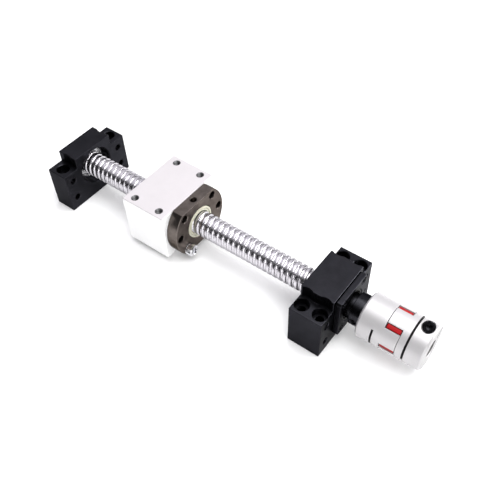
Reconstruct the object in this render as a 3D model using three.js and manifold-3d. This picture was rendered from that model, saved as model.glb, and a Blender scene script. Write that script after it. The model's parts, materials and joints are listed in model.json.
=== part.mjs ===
// Ball screw assembly: 20 mm screw with 5 mm lead, flanged ball nut in an aluminium housing,
// fixed-side and floating-side bearing supports, and a three-jaw clamp coupling.
// Millimetres, +Z up, +X along the screw from the floating side to the motor side.
// The origin is the centre of the fixed-side support's base face; the screw axis is at z = AXIS_Z.
import * as THREE from "three";
import { mergeVertices } from "three/addons/utils/BufferGeometryUtils.js";
import Module from "manifold-3d";

// ---------- driving dimensions (mm, degrees) ----------
const AXIS_Z = 28; // screw axis above the base faces
const GAP = 0.3; // clearance between pieces that touch
const BLOCK_W = 70, BLOCK_SHOULDER_Z = 38, BLOCK_TOP_Z = 48, BLOCK_NECK_W = 40;
const BK_X0 = -13.5, BK_X1 = 13.5; // fixed-side block, 27 thick
const BF_X0 = -260, BF_X1 = -240; // floating-side block, 20 thick
const BOLT_Y = 27, BOLT_R = 3.3, CBORE_R = 5.5, CBORE_DEPTH = 6.5, FACE_HOLE_R = 2.75;
const FACE_HOLE_Z = [11, 29];
const SCALLOP_R = 8.2;
const BRG_SEAT_R = 16, BRG_OUT_R = 15.72, BRG_BORE_R = 7.78, BRG_W = 9;
const LIP_R = 13;
const PLATE = 36, PLATE_X1 = 18, PLATE_SCREW = 13.6;
const LOCK_X0 = 21.5, LOCK_X1 = 29.5, LOCK_R = 12.5;
const SCREW_R = 10, ROOT_R = 8.5, LEAD = 5, SCREW_SIDES = 10;
const THREAD_X0 = -248, THREAD_X1 = -13.5;
const BF_JOURNAL_X0 = -261, JOURNAL_R = 7.5, MOTOR_JOURNAL_R = 6, MOTOR_JOURNAL_X1 = 48;
const GROOVE_X = 3.375; // groove centre after the start of one lead at angle 0
const HELIX_X0 = THREAD_X0 - 2 * LEAD; // where the helical rod starts before it is trimmed
const BALL_ORBIT_R = 10.3, BALL_R = 0.95, CHANNEL_ORBIT_R = 10.6, CHANNEL_R = 1.55;
const FLANGE_X0 = -132.5, FLANGE_X1 = -122.5, FLANGE_R = 29, FLANGE_FLAT = 22;
const NUT_X0 = -173.5, NUT_R = 18, NUT_BORE_R = 10.5, PCD_R = 23.5, FLANGE_HOLE_R = 3.3;
const WIPER_R = 13.8, WIPER_T = 3.4;
const HOUSE_X0 = -174.5, HOUSE_X1 = FLANGE_X0 - GAP, HOUSE_W = 62, HOUSE_Z0 = 6, HOUSE_Z1 = 50;
const HOUSE_HOLES = [25, 12.5]; // half spacing across and along
const HOUSE_HOLE_R = 2.6, HOUSE_HOLE_DEPTH = 12;
const CPL_R = 17.5, CPL_X0 = 29.8, CPL_JAW_X0 = 48.8, CPL_JAW_X1 = 60.8, CPL_X1 = 79.8;
const CPL_ARM = 2, CPL_ARM_0 = 7; // spider arm half width, first arm's angle
const CPL_BORE_SCREW_R = 6.3, CPL_BORE_MOTOR_R = 7;
const CLAMP_OFF = 12, CLAMP_HEAD_R = 4.25, CLAMP_CB_R = 4.75;

const wasm = await Module();
wasm.setup();

// ---------- solids ----------
function bare(g) {
  let b = new THREE.BufferGeometry().setAttribute("position", g.getAttribute("position").clone());
  if (g.index) b.setIndex(g.index.clone());
  b = mergeVertices(b, 1e-4);
  const p = b.attributes.position, id = b.index.array, out = [];
  for (let i = 0; i < id.length; i += 3) {
    const [u, v, w] = [id[i], id[i + 1], id[i + 2]];
    if (u !== v && v !== w && u !== w) out.push(u, v, w);
  }
  let vol = 0;
  const A = new THREE.Vector3(), B = new THREE.Vector3(), C = new THREE.Vector3();
  for (let i = 0; i < out.length; i += 3) {
    A.fromBufferAttribute(p, out[i]); B.fromBufferAttribute(p, out[i + 1]); C.fromBufferAttribute(p, out[i + 2]);
    vol += A.dot(B.cross(C));
  }
  if (vol < 0) for (let i = 0; i < out.length; i += 3) [out[i + 1], out[i + 2]] = [out[i + 2], out[i + 1]];
  b.setIndex(out);
  return b;
}
function solid(g) {
  const b = bare(g);
  return new wasm.Manifold(new wasm.Mesh({
    numProp: 3,
    vertProperties: new Float32Array(b.attributes.position.array),
    triVerts: new Uint32Array(b.index.array),
  }));
}
function geo(m) {
  const k = m.getMesh();
  const g = new THREE.BufferGeometry();
  const n = k.vertProperties.length / k.numProp, pos = new Float32Array(n * 3);
  for (let i = 0; i < n; i++) for (let j = 0; j < 3; j++) pos[i * 3 + j] = k.vertProperties[i * k.numProp + j];
  g.setAttribute("position", new THREE.BufferAttribute(pos, 3));
  g.setIndex(new THREE.BufferAttribute(new Uint32Array(k.triVerts), 1));
  return g;
}
const cut = (m, ...tools) => tools.reduce((a, t) => a.subtract(t), m);
const join = (m, ...tools) => tools.reduce((a, t) => a.add(t), m);

// A round body about the X axis at height 0: profile of [x, r] points.
function turned(profile, sides = 24, twist = 0) {
  const pts = profile.map(([x, r]) => new THREE.Vector2(r, x));
  return solid(new THREE.LatheGeometry(pts, sides, twist, Math.PI * 2).rotateZ(-Math.PI / 2));
}
const rod = (x0, x1, r, sides = 24) => turned([[x0, 0], [x0, r], [x1, r], [x1, 0]], sides);
const tube = (x0, x1, ri, ro, sides = 24) =>
  turned([[x0, ri], [x0, ro], [x1, ro], [x1, ri], [x0, ri]], sides);
// A cylinder from point a along unit direction d, of length len.
function pin(a, d, len, r, sides = 10) {
  const g = new THREE.CylinderGeometry(r, r, len, sides);
  g.translate(0, len / 2, 0);
  g.applyQuaternion(new THREE.Quaternion().setFromUnitVectors(new THREE.Vector3(0, 1, 0), new THREE.Vector3(...d).normalize()));
  g.translate(...a);
  return solid(g);
}
function box(x0, x1, y0, y1, z0, z1) {
  return solid(new THREE.BoxGeometry(x1 - x0, y1 - y0, z1 - z0).translate((x0 + x1) / 2, (y0 + y1) / 2, (z0 + z1) / 2));
}
// An outline in the YZ plane, pushed along X.
function plateYZ(points, x0, x1) {
  const shape = new THREE.Shape(points.map(([y, z]) => new THREE.Vector2(y, z)));
  const g = new THREE.ExtrudeGeometry(shape, { depth: x1 - x0, bevelEnabled: false });
  // shape x -> Y, shape y -> Z, depth -> X
  g.applyMatrix4(new THREE.Matrix4().makeBasis(new THREE.Vector3(0, 1, 0), new THREE.Vector3(0, 0, 1), new THREE.Vector3(1, 0, 0)));
  g.translate(x0, 0, 0);
  return solid(g);
}
const deg = THREE.MathUtils.degToRad;
const turn = (m, a) => m.rotate([a, 0, 0]);
const lift = (m) => m.translate([0, 0, AXIS_Z]);

// ---------- materials ----------
const mat = (color, roughness, metalness) => new THREE.MeshStandardMaterial({ color, roughness, metalness });
const M = {
  black_block: mat(0x1c1c1d, 0.45, 0.4),
  black_steel: mat(0x141415, 0.4, 0.6),
  screw_steel: mat(0xc9c8cf, 0.18, 1),
  nut_steel: mat(0x827870, 0.4, 0.9),
  bearing_steel: mat(0xb8b8bc, 0.25, 1),
  bearing_shield: mat(0x9c9ca0, 0.35, 1),
  cage: mat(0x8e8a80, 0.5, 0.6),
  ball: mat(0xd5d6da, 0.08, 1),
  wiper: mat(0xc9c8b2, 0.55, 0),
  insert: mat(0x9a948a, 0.4, 0.8),
  white_alu: mat(0xe9e9ea, 0.5, 0.35),
  alu: mat(0xc6c7ca, 0.32, 0.9),
  red: mat(0xc0232a, 0.5, 0),
  rubber: mat(0x1a1a1a, 0.7, 0),
  zinc: mat(0xd0d1d4, 0.2, 1),
};
const group = new THREE.Group();
group.name = "ball_screw_assembly";
function add(parent, name, solidBody, material) {
  const mesh = new THREE.Mesh(geo(solidBody), material);
  mesh.name = name;
  parent.add(mesh);
  return mesh;
}
const axis = new THREE.Group(); // everything that is centred on the screw axis
axis.position.z = AXIS_Z;
group.add(axis);

// ---------- support blocks ----------
function block(x0, x1, boltXs, scallops) {
  const h = BLOCK_W / 2, n = BLOCK_NECK_W / 2;
  let b = plateYZ([[-h, 0], [h, 0], [h, BLOCK_SHOULDER_Z], [n, BLOCK_SHOULDER_Z], [n, BLOCK_TOP_Z], [-n, BLOCK_TOP_Z], [-n, BLOCK_SHOULDER_Z], [-h, BLOCK_SHOULDER_Z]], x0, x1);
  for (const s of [-1, 1]) {
    for (const x of boltXs) {
      b = cut(b, pin([x, s * BOLT_Y, -1], [0, 0, 1], BLOCK_TOP_Z, BOLT_R, 8), pin([x, s * BOLT_Y, BLOCK_SHOULDER_Z - CBORE_DEPTH], [0, 0, 1], 20, CBORE_R, 12));
      if (scallops) b = cut(b, pin([x, s * BOLT_Y, BLOCK_SHOULDER_Z + 0.01], [0, 0, 1], 20, SCALLOP_R, 14));
    }
    for (const z of FACE_HOLE_Z) b = cut(b, pin([x0 - 1, s * BOLT_Y, z], [1, 0, 0], x1 - x0 + 2, FACE_HOLE_R, 6));
  }
  return b;
}
const bores = (...parts) => parts.map(lift);
add(group, "bf_housing", cut(block(BF_X0, BF_X1, [(BF_X0 + BF_X1) / 2], true), ...bores(rod(BF_X0 - 1, BF_X1 + 1, BRG_SEAT_R, 30))), M.black_block);
const plateScrewHoles = [[-1, -1], [-1, 1], [1, -1], [1, 1]].map(([a, b]) => [a * PLATE_SCREW, b * PLATE_SCREW]);
add(group, "bk_housing", cut(
  block(BK_X0, BK_X1, [BK_X0 + 6, BK_X0 + 21], true),
  ...bores(rod(BK_X0 - 1, BK_X1 + 1, LIP_R, 30), rod(BK_X0 + 6, BK_X1 + 1, BRG_SEAT_R, 30)),
  ...bores(...plateScrewHoles.map(([y, z]) => pin([BK_X1 - 8, y, z], [1, 0, 0], 12, 1.6, 6))),
), M.black_block);

// ---------- rolling bearings ----------
// centre x, raceway radii, and one piece for the balls with their cage
function bearing(prefix, x0, angular) {
  const x1 = x0 + BRG_W, c = (x0 + x1) / 2, e = 0.15;
  add(axis, prefix + "_outer_ring", angular
    ? turned([[x0 + e, 12.9], [x0 + e, BRG_OUT_R], [x1 - e, BRG_OUT_R], [x1 - e, 14.1], [c, 14.2], [x0 + e, 12.9]], 24)
    : turned([[x0 + e, 13.6], [x0 + e, BRG_OUT_R], [x1 - e, BRG_OUT_R], [x1 - e, 13.6], [c, 14.3], [x0 + e, 13.6]], 24), M.bearing_steel);
  add(axis, prefix + "_inner_ring", angular
    ? turned([[x0 + e, BRG_BORE_R], [x0 + e, 9.2], [c, 9.2], [x1 - e, 10], [x1 - e, BRG_BORE_R], [x0 + e, BRG_BORE_R]], 24)
    : turned([[x0 + e, BRG_BORE_R], [x0 + e, 9.9], [c, 9.2], [x1 - e, 9.9], [x1 - e, BRG_BORE_R], [x0 + e, BRG_BORE_R]], 24), M.bearing_steel);
  let train = tube(c - 0.9, c + 0.9, 11.2, 12.3, 18);
  for (let i = 0; i < 9; i++) {
    const a = (i / 9) * Math.PI * 2;
    train = train.add(solid(new THREE.OctahedronGeometry(2.1, 0).rotateX(a).translate(c, 11.75 * Math.cos(a), 11.75 * Math.sin(a))));
  }
  add(axis, prefix + "_balls_cage", train, M.cage);
}
bearing("bf_bearing", -257, false);
add(axis, "bf_bearing_shield_rear", tube(-256.6, -255.9, 10.25, 13.25), M.bearing_shield);
add(axis, "bf_bearing_shield_front", tube(-249.1, -248.4, 10.25, 13.25), M.bearing_shield);
add(axis, "bf_snap_ring", (() => {
  const ring = tube(-258.35, -257.35, 7.25, 9.4);
  return cut(ring, box(-259, -257, -1.6, 1.6, -12, 0));
})(), M.black_steel);
bearing("bk_bearing_rear", -7.5, true);
bearing("bk_bearing_front", 1.5, true);

// ---------- fixed side: seals, collars, cover, lock nut ----------
add(axis, "bk_seal_rear", tube(-13.1, -8.2, 10.35, 12.68), M.rubber);
add(axis, "bk_collar_rear", tube(-13.2, -7.8, 7.8, 10), M.black_steel);
add(axis, "bk_cover_plate", (() => {
  const x0 = BK_X1 + GAP, h = PLATE / 2, c = 1.2;
  let p = plateYZ([[-h + c, -h], [h - c, -h], [h, -h + c], [h, h - c], [h - c, h], [-h + c, h], [-h, h - c], [-h, -h + c]], x0, PLATE_X1);
  p = join(p, rod(10.8, x0 + 1, 15.7, 24));
  p = cut(p, rod(5, 30, LIP_R, 24));
  for (const [y, z] of plateScrewHoles) p = cut(p, pin([0, y, z], [1, 0, 0], 30, 1.8, 8), pin([PLATE_X1 - 3, y, z], [1, 0, 0], 10, 3.2, 10));
  return p;
})(), M.black_block);
plateScrewHoles.forEach(([y, z], i) => {
  const s = join(pin([PLATE_X1 - 2.7, y, z], [1, 0, 0], 2.5, 2.75, 10), pin([7, y, z], [1, 0, 0], PLATE_X1 - 2.7 - 7 + 0.5, 1.2, 6));
  add(axis, "bk_cover_screw_" + (i + 1), cut(s, pin([PLATE_X1 - 1.4, y, z], [1, 0, 0], 3, 1.4, 6)), M.black_steel);
});
add(axis, "bk_seal_front", tube(11.2, 17.4, 10.35, 12.68), M.rubber);
add(axis, "bk_collar_front", tube(10.8, LOCK_X0 - GAP, 7.8, 10), M.black_steel);
add(axis, "bk_lock_nut", cut(
  turned([[LOCK_X0, 7.8], [LOCK_X0, LOCK_R - 0.5], [LOCK_X0 + 0.5, LOCK_R], [LOCK_X1 - 0.5, LOCK_R], [LOCK_X1, LOCK_R - 0.5], [LOCK_X1, 7.8], [LOCK_X0, 7.8]], 28),
  pin([25.5, 0, 0], [0, -1, 0], 20, 2.3, 10),
), M.black_steel);
add(axis, "bk_lock_nut_set_screw", cut(pin([25.5, -8, 0], [0, -1, 0], 3.6, 1.95, 10), pin([25.5, -9.8, 0], [0, -1, 0], 4, 1.05, 6)), M.black_steel);

// ---------- ball screw shaft ----------
// One lead of the thread: land, flank down to the root, flank back up. Each turn of the outline is moved one lead along X.
function threadRod() {
  const outline = [[0, SCREW_R], [2 * GROOVE_X - LEAD, SCREW_R], [GROOVE_X, ROOT_R]];
  const leads = Math.round((THREAD_X1 - THREAD_X0) / LEAD) + 4, n = SCREW_SIDES, k = outline.length, rows = leads * k;
  const pos = [], idx = [];
  const at = (i, j) => i * (rows + 1) + j;
  for (let i = 0; i < n; i++) {
    const a = (i / n) * Math.PI * 2;
    for (let j = 0; j <= rows; j++) {
      const [s, r] = outline[j % k];
      pos.push(HELIX_X0 + Math.floor(j / k) * LEAD + s + (LEAD * i) / n, r * Math.cos(a), r * Math.sin(a));
    }
  }
  const quad = (a, b, c, d) => idx.push(a, b, c, a, c, d);
  for (let i = 0; i < n - 1; i++) for (let j = 0; j < rows; j++) quad(at(i, j), at(i + 1, j), at(i + 1, j + 1), at(i, j + 1));
  // across the seam the last column meets the first one, one lead further on
  for (let j = 0; j < rows - k; j++) quad(at(n - 1, j), at(0, j + k), at(0, j + k + 1), at(n - 1, j + 1));
  // close both ends onto the axis; they are trimmed off afterwards
  const c0 = pos.length / 3;
  pos.push(HELIX_X0 - 12, 0, 0);
  const c1 = c0 + 1;
  pos.push(HELIX_X0 + leads * LEAD + 12, 0, 0);
  for (let i = 0; i < n - 1; i++) idx.push(c0, at(i + 1, 0), at(i, 0));
  idx.push(c0, at(0, k), at(n - 1, 0));
  for (let j = 0; j < k; j++) idx.push(c0, at(0, j), at(0, j + 1));
  for (let i = 0; i < n - 1; i++) idx.push(c1, at(i, rows), at(i + 1, rows));
  idx.push(c1, at(n - 1, rows - k), at(0, rows));
  for (let j = rows - k; j < rows; j++) idx.push(c1, at(n - 1, j + 1), at(n - 1, j));
  const g = new THREE.BufferGeometry().setAttribute("position", new THREE.BufferAttribute(new Float32Array(pos), 3));
  g.setIndex(idx);
  return solid(g);
}
const thread = threadRod().intersect(turned([[THREAD_X0, 0], [THREAD_X0, 9.2], [THREAD_X0 + 1, 10.4], [THREAD_X1 - 1, 10.4], [THREAD_X1, 9.2], [THREAD_X1, 0]], 20));
add(axis, "ball_screw_shaft", join(
  thread,
  turned([
    [BF_JOURNAL_X0, 0], [BF_JOURNAL_X0, 7], [BF_JOURNAL_X0 + 0.5, JOURNAL_R], [-258.6, JOURNAL_R], [-258.6, 6.95], [-257.1, 6.95], [-257.1, JOURNAL_R],
    [THREAD_X0 + 2, JOURNAL_R], [THREAD_X0 + 2, 0],
  ], 24),
  turned([
    [THREAD_X1 - 2, 0], [THREAD_X1 - 2, JOURNAL_R], [29.2, JOURNAL_R], [29.2, MOTOR_JOURNAL_R], [MOTOR_JOURNAL_X1 - 0.8, MOTOR_JOURNAL_R], [MOTOR_JOURNAL_X1, MOTOR_JOURNAL_R - 0.8], [MOTOR_JOURNAL_X1, 0],
  ], 24),
), M.screw_steel);

// ---------- ball nut ----------
class Helix extends THREE.Curve {
  constructor(a0, a1, r) { super(); this.a0 = a0; this.a1 = a1; this.r = r; }
  getPoint(t, out = new THREE.Vector3()) {
    const a = this.a0 + (this.a1 - this.a0) * t;
    return out.set(CIRCUIT_X0 + (LEAD * a) / (Math.PI * 2), this.r * Math.cos(a), this.r * Math.sin(a));
  }
}
const CIRCUIT_X0 = HELIX_X0 + GROOVE_X + 18 * LEAD;
const CIRCUITS = 4, CIRCUIT_STEP = 450; // one turn each, at quarter-turn offsets
function sweep(curve, r, sides, steps) {
  const pts = [];
  for (let i = 0; i < sides; i++) pts.push(new THREE.Vector2(r * Math.cos((i / sides) * 2 * Math.PI), r * Math.sin((i / sides) * 2 * Math.PI)));
  return solid(new THREE.ExtrudeGeometry(new THREE.Shape(pts), { extrudePath: curve, steps, bevelEnabled: false }));
}
function insertBody(k, half, halfT, r0, r1) {
  // a plug with round ends, long along X, standing out from the axis at the circuit's gap
  const shape = new THREE.Shape();
  const s = half - halfT;
  shape.moveTo(-s, -halfT);
  shape.lineTo(s, -halfT);
  shape.absarc(s, 0, halfT, -Math.PI / 2, Math.PI / 2, false);
  shape.lineTo(-s, halfT);
  shape.absarc(-s, 0, halfT, Math.PI / 2, (3 * Math.PI) / 2, false);
  const g = new THREE.ExtrudeGeometry(shape, { depth: r1 - r0, bevelEnabled: false, curveSegments: 3 });
  g.translate(0, 0, r0); // radial = +Z, long = X, tangential = Y
  g.translate(CIRCUIT_X0 + (LEAD * (k * CIRCUIT_STEP + 180)) / 360, 0, 0);
  g.rotateX(deg(k * CIRCUIT_STEP - 90)); // +Z is 90 degrees from +Y
  return solid(g);
}
let nut = join(rod(FLANGE_X0, FLANGE_X1, FLANGE_R, 36), rod(NUT_X0, FLANGE_X0 + 2, NUT_R, 28));
nut = nut.intersect(box(NUT_X0 - 1, FLANGE_X1 + 1, -FLANGE_R - 1, FLANGE_R + 1, -FLANGE_FLAT, FLANGE_FLAT));
nut = cut(nut, rod(NUT_X0 - 1, FLANGE_X1 + 1, NUT_BORE_R, 24), rod(FLANGE_X1 - WIPER_T - 0.4, FLANGE_X1 + 1, WIPER_R + 0.35, 24), rod(NUT_X0 - 1, NUT_X0 + WIPER_T + 0.4, WIPER_R + 0.35, 24));
const FLANGE_ANGLES = [0, 45, 135, 180, 225, 315];
for (const a of FLANGE_ANGLES) nut = cut(nut, pin([FLANGE_X0 - 1, PCD_R * Math.cos(deg(a)), PCD_R * Math.sin(deg(a))], [1, 0, 0], 12, FLANGE_HOLE_R, 12));
nut = cut(nut, pin([-127.5, 0, 16], [0, 0, 1], 12, 2.5, 10), pin([-128.6, 0, 5], [0, 0, 1], 20, 1.1, 6));
for (let k = 0; k < CIRCUITS; k++) {
  nut = cut(nut, sweep(new Helix(deg(k * CIRCUIT_STEP + 4), deg(k * CIRCUIT_STEP + 356), CHANNEL_ORBIT_R), CHANNEL_R, 6, 13), insertBody(k, 4.9, 3, 9, 20));
}
add(axis, "ball_nut", nut, M.nut_steel);
for (let k = 0; k < CIRCUITS; k++) {
  add(axis, "nut_ball_circuit_" + (k + 1), sweep(new Helix(deg(k * CIRCUIT_STEP + 24), deg(k * CIRCUIT_STEP + 336), BALL_ORBIT_R), BALL_R, 6, 18), M.ball);
  add(axis, "nut_return_insert_" + (k + 1), insertBody(k, 4.6, 2.7, 10.75, 17.55), M.insert);
}
add(axis, "nut_wiper_front", tube(FLANGE_X1 - WIPER_T, FLANGE_X1 + 0.2, 10.4, WIPER_R), M.wiper);
add(axis, "nut_wiper_rear", tube(NUT_X0 - 0.2, NUT_X0 + WIPER_T, 10.4, WIPER_R), M.wiper);

// ---------- nut housing ----------
const houseMidX = (HOUSE_X0 + HOUSE_X1) / 2;
const screwSpots = [[-PCD_R * Math.SQRT1_2, -PCD_R * Math.SQRT1_2], [PCD_R * Math.SQRT1_2, -PCD_R * Math.SQRT1_2]];
let house = cut(box(HOUSE_X0, HOUSE_X1, -HOUSE_W / 2, HOUSE_W / 2, HOUSE_Z0, HOUSE_Z1), lift(rod(HOUSE_X0 - 1, HOUSE_X1 + 1, NUT_R + 0.4, 28)));
for (const s of [-1, 1]) for (const t of [-1, 1]) house = cut(house, pin([houseMidX + t * HOUSE_HOLES[1], s * HOUSE_HOLES[0], HOUSE_Z1 - HOUSE_HOLE_DEPTH], [0, 0, 1], 20, HOUSE_HOLE_R, 10));
for (const a of FLANGE_ANGLES) house = cut(house, lift(pin([HOUSE_X1 - 18, PCD_R * Math.cos(deg(a)), PCD_R * Math.sin(deg(a))], [1, 0, 0], 20, 2.6, 8)));
add(group, "nut_housing", house, M.white_alu);
screwSpots.forEach(([y, z], i) => {
  const x = FLANGE_X1 + 0.25;
  const s = join(pin([x, y, z], [1, 0, 0], 6, 5, 20), pin([x - 22, y, z], [1, 0, 0], 23, 2.1, 8));
  add(axis, "nut_mount_screw_" + (i + 1), cut(s, pin([x + 2.9, y, z], [1, 0, 0], 5, 2.85, 6)), M.zinc);
});

// ---------- coupling ----------
function jaw(centre, x0, x1) {
  const pts = [], half = 30, off = CPL_ARM + 0.35;
  const ao = half - THREE.MathUtils.radToDeg(Math.asin(off / CPL_R)), ai = half - THREE.MathUtils.radToDeg(Math.asin(off / 9.2));
  for (let i = 0; i <= 6; i++) { const a = deg(centre - ao + (2 * ao * i) / 6); pts.push([CPL_R * Math.cos(a), CPL_R * Math.sin(a)]); }
  for (let i = 0; i <= 3; i++) { const a = deg(centre + ai - (2 * ai * i) / 3); pts.push([9.2 * Math.cos(a), 9.2 * Math.sin(a)]); }
  return plateYZ(pts, x0, x1);
}
// hub with its slit along +Y and its clamp screw along +Z, turned afterwards by slitAngle
function hub(x0, x1, jawEnd, bore, slitX, slitEnd, clampX, endX, slitAngle, jaws) {
  const c = 1.2, chamfAt0 = x0 === endX;
  let h = turned(chamfAt0
    ? [[x0, bore], [x0, CPL_R - c], [x0 + c, CPL_R], [x1, CPL_R], [x1, bore], [x0, bore]]
    : [[x0, bore], [x0, CPL_R], [x1 - c, CPL_R], [x1, CPL_R - c], [x1, bore], [x0, bore]], 30);
  const lo = Math.min(slitX, endX), hi = Math.max(slitX, endX);
  h = cut(h,
    box(slitX - 0.6, slitX + 0.6, slitEnd, 30, -30, 30),
    box(lo - 0.1, hi + 0.1, 0, 30, -0.75, 0.75),
    pin([clampX, CLAMP_OFF, 5], [0, 0, 1], 20, CLAMP_CB_R, 14),
    pin([clampX, CLAMP_OFF, -20], [0, 0, 1], 40, 2.75, 10),
  );
  h = turn(h, slitAngle);
  for (const a of jaws) h = join(h, jawEnd > x1 ? jaw(a, x1 - 1, jawEnd) : jaw(a, jawEnd, x0 + 1));
  return h;
}
function clampScrew(x, slitAngle) {
  const s = join(pin([x, CLAMP_OFF, 5.3], [0, 0, 1], 5, CLAMP_HEAD_R, 14), pin([x, CLAMP_OFF, -10], [0, 0, 1], 16, 2.3, 10));
  return turn(cut(s, pin([x, CLAMP_OFF, 7.8], [0, 0, 1], 5, 2.3, 6)), slitAngle);
}
const armAngles = [0, 1, 2, 3, 4, 5].map((i) => CPL_ARM_0 + 60 * i);
const jawsA = [37, 157, 277], jawsB = [97, 217, 337];
add(axis, "coupling_hub_screw_side", hub(CPL_X0, CPL_JAW_X0, CPL_JAW_X1 - 0.5, CPL_BORE_SCREW_R, 42.1, -7.9, 35.6, CPL_X0, -91, jawsA), M.alu);
add(axis, "coupling_hub_motor_side", hub(CPL_JAW_X1, CPL_X1, CPL_JAW_X0 + 0.5, CPL_BORE_MOTOR_R, 66.6, -16, 73.2, CPL_X1, 37, jawsB), M.alu);
add(axis, "coupling_spider", (() => {
  const x0 = CPL_JAW_X0 + GAP, x1 = CPL_JAW_X1 - GAP;
  let s = rod(x0, x1, 8.8, 24);
  for (const a of armAngles) s = join(s, turn(box(x0, x1, 4, 17, -CPL_ARM, CPL_ARM), a));
  return cut(s, rod(x0 - 1, x1 + 1, 4.5, 18));
})(), M.red);
add(axis, "coupling_clamp_screw_screw_side", clampScrew(35.6, -91), M.black_steel);
add(axis, "coupling_clamp_screw_motor_side", clampScrew(73.2, 37), M.black_steel);

export default group;
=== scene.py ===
"""Ball screw assembly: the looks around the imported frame. Sizes here are in millimetres and are scaled once, when a mesh is made."""
import json
import math

import bmesh
import bpy
import numpy as np
from mathutils import Matrix, Vector
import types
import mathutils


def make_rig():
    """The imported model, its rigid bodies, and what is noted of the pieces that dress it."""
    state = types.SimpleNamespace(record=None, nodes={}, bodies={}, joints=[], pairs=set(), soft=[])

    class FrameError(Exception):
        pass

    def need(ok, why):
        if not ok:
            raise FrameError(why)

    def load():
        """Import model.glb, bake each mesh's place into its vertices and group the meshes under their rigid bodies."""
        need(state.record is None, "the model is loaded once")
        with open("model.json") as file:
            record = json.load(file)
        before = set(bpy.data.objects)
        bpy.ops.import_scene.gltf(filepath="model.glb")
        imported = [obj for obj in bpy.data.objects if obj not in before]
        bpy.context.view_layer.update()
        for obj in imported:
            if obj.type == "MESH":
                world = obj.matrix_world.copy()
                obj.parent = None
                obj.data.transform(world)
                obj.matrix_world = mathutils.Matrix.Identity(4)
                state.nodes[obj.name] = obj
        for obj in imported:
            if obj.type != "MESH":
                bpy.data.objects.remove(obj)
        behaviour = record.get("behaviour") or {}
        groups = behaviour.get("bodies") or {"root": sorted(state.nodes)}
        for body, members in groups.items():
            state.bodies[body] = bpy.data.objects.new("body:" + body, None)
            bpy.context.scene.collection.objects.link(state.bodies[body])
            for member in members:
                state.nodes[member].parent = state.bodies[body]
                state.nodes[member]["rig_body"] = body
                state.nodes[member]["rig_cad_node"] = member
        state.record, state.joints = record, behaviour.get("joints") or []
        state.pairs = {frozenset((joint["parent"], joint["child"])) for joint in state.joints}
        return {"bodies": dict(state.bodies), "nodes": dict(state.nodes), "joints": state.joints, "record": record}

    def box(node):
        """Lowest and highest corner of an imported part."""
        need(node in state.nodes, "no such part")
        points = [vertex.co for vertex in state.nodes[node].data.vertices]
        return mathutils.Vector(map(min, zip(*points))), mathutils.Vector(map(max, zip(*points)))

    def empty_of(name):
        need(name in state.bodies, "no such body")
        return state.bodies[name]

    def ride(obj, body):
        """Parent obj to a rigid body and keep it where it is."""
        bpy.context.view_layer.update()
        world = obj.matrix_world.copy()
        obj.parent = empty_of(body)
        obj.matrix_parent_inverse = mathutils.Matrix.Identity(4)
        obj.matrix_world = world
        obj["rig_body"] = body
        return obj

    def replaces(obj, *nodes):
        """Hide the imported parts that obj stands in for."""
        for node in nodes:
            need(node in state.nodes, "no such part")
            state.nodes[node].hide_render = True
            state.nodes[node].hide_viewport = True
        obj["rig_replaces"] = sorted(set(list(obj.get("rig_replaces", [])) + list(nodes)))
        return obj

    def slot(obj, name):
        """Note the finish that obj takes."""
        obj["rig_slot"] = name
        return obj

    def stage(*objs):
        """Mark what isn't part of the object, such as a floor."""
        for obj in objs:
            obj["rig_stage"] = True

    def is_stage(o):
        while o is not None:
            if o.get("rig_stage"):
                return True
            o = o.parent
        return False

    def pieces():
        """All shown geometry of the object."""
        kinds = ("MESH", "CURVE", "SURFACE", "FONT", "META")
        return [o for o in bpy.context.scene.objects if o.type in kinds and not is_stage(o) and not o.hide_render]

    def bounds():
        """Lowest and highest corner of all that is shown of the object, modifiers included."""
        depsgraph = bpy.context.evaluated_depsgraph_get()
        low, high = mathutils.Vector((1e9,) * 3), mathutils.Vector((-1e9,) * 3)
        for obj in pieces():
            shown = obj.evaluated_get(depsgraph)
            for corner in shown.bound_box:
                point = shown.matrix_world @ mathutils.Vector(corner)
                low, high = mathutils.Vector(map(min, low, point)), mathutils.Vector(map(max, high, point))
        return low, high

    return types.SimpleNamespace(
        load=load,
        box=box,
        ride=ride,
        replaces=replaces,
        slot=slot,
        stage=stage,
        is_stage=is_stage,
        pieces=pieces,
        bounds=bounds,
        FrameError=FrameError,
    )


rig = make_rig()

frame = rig.load()
CAD_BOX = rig.bounds()
MM = 0.001
AX = 28.0  # height of the screw axis


def bx(node):
    lo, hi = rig.box(node)
    return lo.x / MM, hi.x / MM


# ------------------------------------------------------------------ mesh tools
def new_obj(name, bm):
    bmesh.ops.remove_doubles(bm, verts=bm.verts, dist=1e-5)
    bmesh.ops.recalc_face_normals(bm, faces=bm.faces)
    me = bpy.data.meshes.new(name)
    bm.to_mesh(me)
    bm.free()
    o = bpy.data.objects.new(name, me)
    bpy.context.scene.collection.objects.link(o)
    return o


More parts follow.
